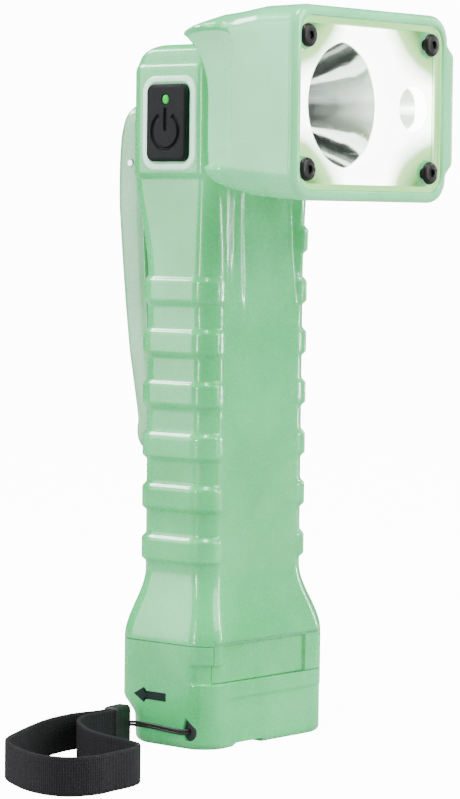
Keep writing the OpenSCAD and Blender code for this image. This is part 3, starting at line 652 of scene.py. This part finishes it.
handleSkinPiece = gridPiece("handleSkin", handleSkin(handleFacts))
slotArc = np.linspace(-np.pi / 2, 0, 17)[1:]
slotRound = spread(1 + 11.6 * np.cos(slotArc), 176 + 11.6 * np.sin(slotArc))
slotOutline = np.vstack([[(-16, 164.4), (1, 164.4)], slotRound, [(12.6, 196), (-16, 196)]])
forkCut = barPiece("forkCut", slotOutline, "x", -12, 12, edge=0.05, steps=1)
bayCut = barPiece("bayCut", pad((0, 0), 33.1, 17.9, 3), "z", 20, 156.5, edge=0.05, steps=1)
carve(handleSkinPiece, [forkCut, bayCut])
lugOutline = [(11.5, 149.1), (26.6, 156.7), (28.2, 157.3), (29.0, 159.1), (28.2, 160.9), (26.6, 161.5), (11.5, 168.1)]
railMiddle = 3.1 - 5.95
sideBars = {  # outline, nearest and furthest X, edge
    "railWeb": (pad((railMiddle, 25.7), 23.7, 6.6, 0.3), 19.4, 21.0, 0.25),
    "railFoot": (pad((railMiddle, 23.55), 23.7, 2.1, 0.3), 19.4, 22.3, 0.25),
    "clipLug": (lugOutline, 4.2, 8.6, 0.5),
}
extras = [apronPiece("apron")]
for sign in (-1, 1):
    for barName, (outline, near, far, edge) in sideBars.items():
        extras.append(barPiece(barName, outline, "x", *sorted((sign * near, sign * far)), edge))
handle = joined("handleShell", [handleSkinPiece] + extras)
settle(handle, bodyPlastic, "handle", ["handle_shell"])
print("handle made:", len(handle.data.polygons), "faces")

doorFacts = {"halfX": 26.5, "front": 17, "corner": 7, "top": 28.2}


# rounded rectangle carried up the base cap: the back edge steps in low down, the bottom rim is chamfered
def doorSkin(facts):
    z = np.concatenate([[0, 0.15, 0.4, 0.8, 1.3, 1.8], np.arange(2.2, 28.1, 0.4), [facts["top"]]])[:, None]
    ca, cb, c, s = loopCode(64, 34, 10)
    halfX = facts["halfX"] - 1.7 * (1 - np.sqrt(np.clip(1 - (1 - z / 1.8).clip(0) ** 2, 0, 1)))
    front = facts["front"] - 1.5 * (1 - np.sqrt(np.clip(1 - (1 - z / 1.6).clip(0) ** 2, 0, 1)))
    back = np.interp(z, [0, 0.6, 1.6, 7.6, 8.6, 11.9, 13.0], [11.2, 12.0, 12.5, 12.8, 13.4, 16.6, 17])
    middle, halfY = (back - front) / 2, (back + front) / 2
    radius = np.minimum(facts["corner"], halfY - 1)
    x = ca * (halfX - radius) + radius * c
    facing = np.clip(-s, 0, 1)
    strip = 0.3 * facing ** 2 * (1 - ease(z, 13.2, 13.8)) * ease(x, -18, -15)
    sunkCorner = sunkDepth * ease(z, 17.9, 18.2) * (1 - ease(z, 22.9, 23.2)) * facing * (1 - ease(x, -17, -16))
    off = -strip - sunkCorner * ease(facing, 0.1, 0.3)
    y = middle + cb * (halfY - radius) + (radius + off) * s
    x = x + off * c
    return spread(x, y, z)


door = gridPiece("batteryDoor", doorSkin(doorFacts))
drop = np.linspace(-0.15 * np.pi, 1.15 * np.pi, 25) + np.pi
holeOutline = np.vstack([spread(-10.9 + 2.25 * np.cos(drop), 4.9 + 2.5 * np.sin(drop)), [(-9.6, 8.9)]])
doorCuts = {  # outline, axis, low and high end
    "roomCut": (pad((0, -1.2), 48.4, 26.4, 5), "z", 3, 24),
    "apronCut": ([(-22.75, -20), (22.75, -20), (22.75, -14.4), (-22.75, -14.4)], "z", 18.0, 32),
    "holeCut": (holeOutline, "x", -29, -23),
    "openCut": ([(-22.6, -15), (22.6, -15), (22.6, 12.5), (-22.6, 12.5)], "z", 22.2, 27.2),
    "feetCut": ([(-15.6, -1), (-13.4, 1.3), (-2.2, 1.3), (-0.4, -1)], "y", -19, -12),
    "railCutLeft": ([(-19.0, -19), (-21.6, -19), (-21.6, 12.2), (-19.0, 12.2)], "z", 23.4, 32),
    "railCutRight": ([(19.0, -19), (21.6, -19), (21.6, 12.2), (19.0, 12.2)], "z", 23.4, 32),
}
carve(door, [barPiece(cutName, *shape, 0.05, 1) for cutName, shape in doorCuts.items()])
settle(door, bodyPlastic, "door", ["battery_door"])

# arrow on the side of the cap that shows which way it slides off
arrowOutline = [(9.4, 13.5), (5.6, 15.6), (5.6, 14.65), (-2.4, 14.65), (-2.4, 12.35), (5.6, 12.35), (5.6, 11.4)]
settle(barPiece("doorArrow", arrowOutline, "x", -26.56, -26.2, 0.03, 1, crease=20), arrowInk, "door")

# dark plug a little way inside the lanyard hole: painted shade where the inside of the hole is in shadow
settle(barPiece("holeShadePlug", holeOutline, "x", -25.6, -23.1, 0.03, 1), darkPlastic, "door")
print("battery door made")

headFacts = {"width": 66.4, "front": -50.8, "middle": 174.1, "hingeY": 1, "hingeZ": 176, "round": 7,
             "lensWidth": 60.8, "lensHeight": 45.2, "lensRound": 5.2, "roomWidth": 57.4, "roomHeight": 42.0,
             "padOut": 3.0, "pocket": 2.1, "rim": 2.1, "backRim": 0.8}
windowCorners = [(x, headFacts["middle"] + z) for x in (-26.2, 26.2) for z in (-17.3, 17.3)]


# back boundary of the head's sides at a height: the sloped back line or the circle round the hinge,
# whichever is further forward
def headBack(z, facts):
    line = np.interp(z, [148.5, 152.6, 155.4, 158.6, 163, 176, 180, 188, 193.2],
                     [-25.8, -22.6, -20.4, -19.4, -19.0, -19.0, -17.2, -13.6, -10.6])
    reach = 20.0 ** 2 - (z - facts["hingeZ"]) ** 2
    circle = np.where(reach > 0, facts["hingeY"] - np.sqrt(np.maximum(reach, 0)), 50)
    return np.minimum(line, circle)


# bottom line, top line and corner radius of the head's section at a depth
def headLines(y, facts):
    low = np.interp(y, [-50.8, -32.8, -25.8, -19.6, -12], [148.55, 149.9, 151.5, 153.4, 156.0])
    high = np.interp(y, [-50.8, -36.8, -23, -14.5, -10.5], [199.65, 199.5, 197.6, 195.0, 193.4])
    return (low + high) / 2, (high - low) / 2, facts["round"] - 4.6 * ease(y, -30, -13.5)


# outer skin from the back rim to the front rim: rounded rectangles whose top and bottom lines follow the depth
def headSkin(facts):
    ca, cb, c, s = loopCode(56, 72, 9)
    front, rim, backRim = facts["front"], facts["rim"], facts["backRim"]
    rear = np.full_like(ca, -19.0)
    for _ in range(12):  # the rear edge lies on the back boundary at its own height
        middle, halfZ, r = headLines(rear, facts)
        rear = (rear + headBack(middle + cb * (halfZ - r) + r * s, facts)) / 2
    share = np.linspace(0, 1, 78)[1:, None]
    start = backRim * (1 - np.cos(np.linspace(0, np.pi / 2, 5)))[:, None]
    turn = np.linspace(0, np.pi / 2, 7)[1:, None]
    y = np.concatenate([rear - start, (rear - backRim) - (rear - backRim - front - rim) * share,
                        front + rim * (1 - np.sin(turn)) + 0 * rear])
    inset = np.concatenate([rounding(backRim - start, backRim) + 0 * rear, 0 * rear + 0 * share,
                            rim * (1 - np.cos(turn)) + 0 * rear])
    middle, halfZ, r = headLines(y, facts)
    z = middle + cb * (halfZ - r) + (r - inset) * s
    x = ca * (facts["width"] / 2 - r) + (r - inset) * c
    side = c ** 2
    ramp = np.minimum(1 - ease(y, -34.3, -30.5), 1 - ease(np.abs(z - facts["middle"]), 14.2, 18.2))
    cheek = facts["padOut"] * ramp * side * (c > 0)
    around = np.maximum(np.abs(z - 175.8) - 13.6, 0) ** 2 + np.maximum(-(y + 24.4), 0) ** 2
    pocket = facts["pocket"] * (1 - ease(np.sqrt(around), 4.0, 4.9)) * side
    x = x + np.sign(c) * (cheek - pocket)
    return spread(x, y, z), (ca, cb, c, s)


# the whole head shell as one grid: rear cap, outer skin, front rim, window seat, inner room
def headPiece(name, facts):
    skin, (ca, cb, c, s) = headSkin(facts)
    edge = skin[0]
    share = np.linspace(0.04, 0.985, 12)[:, None]
    x = edge[:, 0] * share
    z = facts["middle"] + (edge[:, 2] - facts["middle"]) * share
    cap = spread(x, headBack(z, facts), z)
    rows = [cap, skin]
    front = facts["front"]
    for width, height, radius, places in (
        (facts["lensWidth"] + 0.5, facts["lensHeight"] + 0.5, 5.4, [front]),
        (facts["lensWidth"] + 0.1, facts["lensHeight"] + 0.1, 5.25, [front + 0.25]),
        (facts["lensWidth"], facts["lensHeight"], facts["lensRound"], [front + 0.6, -47.45]),
        (facts["roomWidth"], facts["roomHeight"], 4.0, [-47.4, -40, -30, -22.3]),
        (facts["roomWidth"] - 1, facts["roomHeight"] - 1, 3.5, [-22.2]),
    ):
        x = ca * (width / 2 - radius) + radius * c
        z = facts["middle"] + cb * (height / 2 - radius) + radius * s
        rows.append(np.stack([spread(x, place, z) for place in places]))
    return gridPiece(name, np.concatenate(rows), crease=34)


headShellPiece = headPiece("headSkin", headFacts)
arc = np.linspace(-np.pi / 2, np.pi / 2, 33)
neckOutline = np.vstack([spread(1 + 10.8 * np.cos(arc), 176 + 10.8 * np.sin(arc)),
                         [(-12, 186.4), (-20.5, 186.4), (-20.5, 165.6), (-12, 165.6)]])
neck = barPiece("neckDrum", neckOutline, "x", -11.4, 11.4, 0.8, 5)
posts = [turnedPiece("screwPost", [(0.01, 0), (3.6, 0), (3.6, 26)], (x, -47.4, z), "y", 24) for x, z in windowCorners]
head = joined("headShell", [headShellPiece, neck] + posts)
settle(head, headPlastic, "head", ["head_shell"])
print("head made:", len(head.data.polygons), "faces")

lensFacts = {"width": 60.6, "height": 45.0, "round": 5, "front": -50.4, "back": -48.2}


# clear plate: rounded rectangles from back to front, its front edge rounded
def platePiece(name, facts, edge=0.5):
    ca, cb, c, s = loopCode(8, 8, 10)
    w = np.linspace(0, np.pi / 2, 5)
    place = np.concatenate([facts["back"] - 0.2 * np.sin(w), facts["front"] + edge * (1 - np.sin(w))])[:, None]
    inset = np.concatenate([0.2 * (1 - np.sin(w)), edge * (1 - np.cos(w))])[:, None]
    r = facts["round"]
    x = ca * (facts["width"] / 2 - r) + (r - inset) * c
    z = headFacts["middle"] + cb * (facts["height"] / 2 - r) + (r - inset) * s
    return outward(gridPiece(name, spread(x, place, z), crease=30))


window = settle(platePiece("lensWindow", lensFacts), clearWindow("clearWindow"), "head", ["lens"])

screwFacts = {"head": 3.15, "high": 1.15, "socket": 1.15, "shift": -1.2}


# pan head with a domed crown and a six-sided socket: radius follows the profile, the socket rows a hexagon's radius
def screwPiece(name, x, z, facts):
    w = np.linspace(0, 2 * np.pi, 48, endpoint=False)
    hexagon = facts["socket"] * 0.88 / np.cos((w + 0.3) % (np.pi / 3) - np.pi / 6)
    t = np.linspace(0, np.pi / 2, 8)
    foot, wide, dome = lensFacts["front"], facts["head"], 1.1
    top = foot - facts["high"]
    rows = [(1.5, -41.0), (1.5, -50.2), (wide - 0.15, -50.2), (wide, foot)]
    rows += [(wide - dome * (1 - np.cos(v)), top + dome - dome * np.sin(v) * 0.95) for v in t]
    rows += [(hexagon + 0.12, top), (hexagon, top + 0.12), (hexagon * 0.97, top + 0.8), (hexagon * 0.3, top + 0.9)]
    grid = np.stack([spread(x + r * np.cos(w), y, z + r * np.sin(w)) for r, y in rows])
    return outward(gridPiece(name, grid, crease=40))


screws = [screwPiece("screw", x + screwFacts["shift"], z, screwFacts) for x, z in windowCorners]
settle(joined("lensScrews", screws), screwBlack, "head", ["lens_screws"])

# the flood bowl's glow is a painted glow on the reflector
bowls = {
    "spot": {"x": -7.5, "mouth": 16.4, "throat": 3.3, "wall": 0.9, "glow": 0.0},
    "flood": {"x": 20.3, "mouth": 5.9, "throat": 2.1, "wall": 0.9, "glow": 2.0},
}


# parabola bowl: radius^2 runs evenly from throat^2 to mouth^2 with depth, inner wall then outer wall
def bowlPiece(name, facts, middle):
    t = np.linspace(0, 1, 28)
    radius = np.sqrt(facts["throat"] ** 2 + (facts["mouth"] ** 2 - facts["throat"] ** 2) * t)
    inner = spread(radius, -27.6 - 15.6 * t)
    outer = inner[::-1] + [facts["wall"], 0]
    return turnedPiece(name, np.vstack([inner, outer]), middle, "y", 96, ring=True)


for bowl, facts in bowls.items():
    middle = (facts["x"], 0, headFacts["middle"])
    metal = bowlMetal(bowl + "Bowl", middle, facts["glow"])
    settle(bowlPiece(bowl + "Reflector", facts, middle), metal, "head", [bowl + "_reflector"])
print("optics made")

buttonFacts = {"y": 1.8, "z": 169.6, "width": 14.2, "height": 21.0, "round": 2.3, "face": -24.4, "foot": -20.2,
               "signZ": 167.2, "signRadius": 4.8, "signLine": 0.5, "signDeep": 0.55, "lampZ": 175.9, "lampDeep": 1.2}


# cap: side rows from the flange up, a rounded rim, then the face shrinking onto the sign's middle,
# with the sign and the lamp seat pressed in
def buttonPiece(name, facts):
    ca, cb, c, s = loopCode(30, 44, 10)
    w = np.linspace(0, np.pi / 2, 7)
    r = facts["round"]
    edge = 0.7
    rows = [(0.9, facts["foot"]), (0.9, facts["foot"] - 0.8), (0.0, facts["foot"] - 0.9)]
    rows += [(-edge * (1 - np.cos(v)), facts["face"] + edge - edge * np.sin(v)) for v in w]
    grid = []
    for out, x in rows:
        y = facts["y"] + ca * (facts["width"] / 2 - r) + (r + out) * c
        z = facts["z"] + cb * (facts["height"] / 2 - r) + (r + out) * s
        grid.append(spread(x, y, z))
    grid = np.stack(grid)
    rim = grid[-1]
    middle = np.array([facts["face"], facts["y"], facts["signZ"]])
    share = np.linspace(1, 0.01, 72)[1:, None, None]
    face = middle + (rim - middle) * share
    y, z = face[..., 1] - facts["y"], face[..., 2] - facts["signZ"]
    line = facts["signLine"]
    opening = ease(np.abs(np.arctan2(y, z)), 0.48, 0.56)
    ring = (1 - ease(np.abs(np.hypot(y, z) - facts["signRadius"]), line - 0.12, line + 0.12)) * opening
    barMark = (1 - ease(np.abs(y), line - 0.1, line + 0.14)) * band(z, 0.3, 6.2, 0.25)
    sign = np.maximum(ring, barMark)
    lamp = 1 - ease(np.hypot(y / 1.2, (z - (facts["lampZ"] - facts["signZ"])) / 1.4), 0.85, 1.05)
    face[..., 0] += facts["signDeep"] * sign + facts["lampDeep"] * lamp - 0.12 * (1 - (y / 6.4) ** 2).clip(0)
    pressed = np.concatenate([np.zeros((len(rows), len(ca))), np.maximum(sign, lamp)])
    return gridPiece(name, np.concatenate([grid, face])[:, ::-1], crease=50, marks={"pressed": pressed[:, ::-1]})


settle(buttonPiece("buttonCap", buttonFacts), rubber, "button", ["button_cap"])
lampOutline = pad((buttonFacts["y"], buttonFacts["lampZ"]), 2.1, 2.5, 1.0, 8)
lamp = barPiece("indicatorLens", lampOutline, "x", -24.55, -21.2, 0.3)
settle(lamp, signalGreen, "button", ["indicator_lens"])

frameFacts = {"outWidth": 19.4, "outHeight": 25.5, "outRound": 4.4, "inWidth": 15.0, "inHeight": 21.8, "inRound": 2.6,
              "face": -23.1, "back": -21.2}


# frame: a rounded bead section carried round the opening, closed on itself
def framePiece(name, facts):
    ca, cb, c, s = loopCode(10, 14, 8)
    bead = [(0.45 * (1 - np.cos(v)), facts["face"] + 0.45 * (1 - np.sin(v))) for v in np.linspace(0, np.pi / 2, 5)]
    section = [("out", 0, facts["back"])] + [("out", -shift, x) for shift, x in bead]
    section += [("in", shift, x) for shift, x in bead[::-1]] + [("in", 0, facts["back"])]
    rows = []
    for which, shift, x in section:
        r = facts[which + "Round"]
        y = buttonFacts["y"] + ca * (facts[which + "Width"] / 2 - r) + (r + shift) * c
        z = buttonFacts["z"] + cb * (facts[which + "Height"] / 2 - r) + (r + shift) * s
        rows.append(spread(x, y, z))
    return outward(gridPiece(name, np.stack(rows), ring=True, crease=50))


settle(framePiece("buttonFrame", frameFacts), framePlastic, "handle", ["button_frame"])
print("button made")

clipFacts = {"pinY": 26.6, "pinZ": 159.1, "half": 11, "plate": 2.4, "wall": 2.0}


# channel section carried down the clip: outer line, plate thickness and flange depth are read off at each height
def clipPiece(name, facts):
    drop = np.array([16.9, 16.3, 15.2, 11, 8, 4, 0, -6, -12, -25, -38.5, -52, -65, -71.5, -75.4, -79.6])
    outer = np.array([0.4, 1.2, 2.4, 3.7, 4.6, 5.0, 5.2, 5.3, 5.2, 4.0, 2.6, 0.9, -1.6, -2.8, -2.2, -3.6])
    flange = np.array([-2.0, -2.1, -2.2, -2.5, -3.4, -4.0, -4.0, -4.1, -4.5, -5.3, -6.2, -7.2, -9.3, -9.0, -8.4, -7.6])
    z = np.linspace(-79.6, 16.9, 150)
    line = np.interp(z, drop[::-1], outer[::-1])
    inner = np.interp(z, drop[::-1], flange[::-1])
    kernel = np.hanning(9) / np.hanning(9).sum()
    line = np.convolve(np.pad(line, 4, mode="edge"), kernel, "valid")
    inner = np.convolve(np.pad(inner, 4, mode="edge"), kernel, "valid")
    half = facts["half"] - rounding(z - 10.9, 6.0) * 0.9 - rounding(-76.6 - z, 3.0) * 0.7
    k = np.linspace(0, np.pi / 2, 5)
    r = 1.6
    wall, plate = facts["wall"], facts["plate"]
    # share of the half width, shift in X, Y from the outer line or else from the inner line
    code = [(1, -r + r * math.cos(v), -r + r * math.sin(v), None) for v in k]
    code += [(share, -r * share, 0, None) for share in np.linspace(0.95, -0.95, 15)]
    code += [(-1, r - r * math.sin(v), -r + r * math.cos(v), None) for v in k]
    flangeEnd = [(0, 0.5), (0.15, 0.15), (0.5, 0), (wall - 0.5, 0), (wall - 0.1, 0.2), (wall, 0.5)]
    code += [(-1, shift, None, rise) for shift, rise in flangeEnd]
    code += [(-1, wall, -plate - 0.6, None), (-1, wall + 0.6, -plate, None)]
    code += [(1, -wall - 0.6, -plate, None), (1, -wall, -plate - 0.6, None)]
    code += [(1, -shift, None, rise) for shift, rise in flangeEnd[::-1]]
    columns = []
    for share, shift, fromOuter, fromInner in code:
        x = share * half + shift
        y = line + fromOuter if fromInner is None else np.minimum(inner + fromInner, line - plate - 0.65)
        columns.append(spread(x, facts["pinY"] + y, facts["pinZ"] + z))
    return outward(gridPiece(name, np.stack(columns, 1), crease=42))


tailOutline = [(23.4, 93.4), (22.8, 80.4), (17.2, 81.3), (15.2, 82.8), (15.2, 90.4), (16.8, 92.9)]
clip = joined("clipArm", [clipPiece("clipBody", clipFacts), barPiece("clipTail", tailOutline, "x", -9.6, 9.6, 0.8)])
settle(clip, clipPlastic, "clip", ["clip"])
pin = turnedPiece("clipPin", [(0.01, -11.5), (0.85, -11.5), (1.2, -11.15), (1.2, 11.15), (0.85, 11.5), (0.01, 11.5)],
                  (0, clipFacts["pinY"], clipFacts["pinZ"]), "x", 32)
settle(pin, steel, "clip", ["clip_pin"])
print("clip made")

plateGlow = glowPaintedPlate("glowPaintedPlate", (0, 0, headFacts["middle"]), (28.5, 30, 21))
kept = {
    "battery_tray": darkPlastic, "battery_cells": cellJacket, "top_contacts": contactMetal, "contact_springs": steel,
    "driver_board": boardGreen, "board_parts": darkPlastic, "tact_switch": darkPlastic, "clip_spring": steel,
    "clip_magnet": magnetMetal, "door_contact": contactMetal, "door_gasket": softBlack, "pivot_pins": steel,
    "friction_washers": steel, "heat_sink": sinkMetal, "led_board": whiteMask, "spot_led": emitterYellow,
    "flood_led": emitterYellow, "mask_plate": plateGlow, "lens_gasket": paleSilicone,
}
for nodeName, material in kept.items():
    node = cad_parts[nodeName]
    node.data.materials.clear()
    node.data.materials.append(material)
print("CAD nodes finished:", len(kept))

stageFacts = {"flat": 2.6, "bend": 1.0, "high": 3.2, "around": 96}


# one pale sheet, a dish round the object: flat floor, quarter-circle bend and upright wall
def stagePiece(name, facts):
    w = np.linspace(0, np.pi / 2, 17)
    flat, bend = facts["flat"], facts["bend"]
    radius = np.concatenate([np.linspace(0.1, flat, 12), flat + bend * np.sin(w[1:]), np.full(4, flat + bend)])
    rise = np.concatenate([np.zeros(12), bend * (1 - np.cos(w[1:])), bend + np.linspace(0.4, facts["high"], 4)])
    radius, rise = radius[:, None], rise[:, None]
    turn = np.linspace(0, 2 * np.pi, facts["around"], endpoint=False)
    grid = spread(radius * np.cos(turn), radius * np.sin(turn), rise) / mm
    index = np.arange(grid[..., 0].size).reshape(grid.shape[:2])
    after = np.roll(index, -1, axis=1)
    quads = spread(index[:-1], index[1:], after[1:], after[:-1]).reshape(-1, 4)
    centre = spread(index[0], after[0], np.full(facts["around"], index.size))
    return meshObject(name, np.vstack([grid.reshape(-1, 3), np.zeros((1, 3))]), quads, centre, crease=180)


# white paper that shines toward the camera, so it stays clean behind the object, and only faintly toward the object
def brightPaper(name, faint, glow):
    material = finish(name, (0.34, 0.34, 0.34), (0.38, 0.38, 0.38), rough=(0.85, 0.95), cloud=3, grain=300, bump=0.02)
    tree = material.node_tree
    sight, shader = add(tree, "LightPath"), tree.nodes["Principled BSDF"]
    put(shader, Emission_Color=(1, 1, 1, 1))
    strength = calc(tree, "MULTIPLY_ADD", sight.outputs["Is Camera Ray"], glow, faint)
    tree.links.new(strength, shader.inputs["Emission Strength"])
    return material


floor = stagePiece("studioSheet", stageFacts)
floor.data.materials.append(brightPaper("studioPaper", 0.06, 13.0))

world = bpy.data.worlds.new("studioWorld")
world.use_nodes = True
sky = world.node_tree.nodes["Background"]
put(sky, Color=(0.97, 0.99, 1.0, 1), Strength=0.14)
scene.world = world


# soft rectangular light that looks at a point
def softLight(name, place, aim, size, power):
    data = bpy.data.lights.new(name, "AREA")
    data.shape = "RECTANGLE"
    data.size, data.size_y = size
    data.energy = power
    source = bpy.data.objects.new(name, data)
    source.location = place
    direction = np.array(aim) - np.array(place)
    yaw = math.atan2(direction[1], direction[0])
    pitch = math.atan2(direction[2], math.hypot(direction[0], direction[1]))
    source.rotation_euler = (math.pi / 2 + pitch, 0, yaw - math.pi / 2)
    scene.collection.objects.link(source)


lightAim = (0, 0, 0.11)
lights = {  # place and size in metres, power in watts
    "sideBox": ((-1.0, 0.87, 0.30), (0.6, 1.3), 15),
    "cornerStrip": ((-1.3, 0.10, 0.25), (0.03, 1.3), 14),
    "frontStrip": ((0.64, -1.13, 0.25), (0.035, 1.3), 17),
    "rightStrip": ((1.20, -0.47, 0.25), (0.035, 1.3), 13),
    "topBox": ((-0.25, -0.30, 1.35), (0.4, 0.4), 20),
    "ribBox": ((-0.26, 0.88, 0.91), (0.45, 0.25), 13),
    "frontTop": ((0.35, -1.15, 0.95), (0.8, 0.8), 17),
}
for lightName, (place, size, power) in lights.items():
    softLight(lightName, place, lightAim, size, power)
print("stage and lights made")
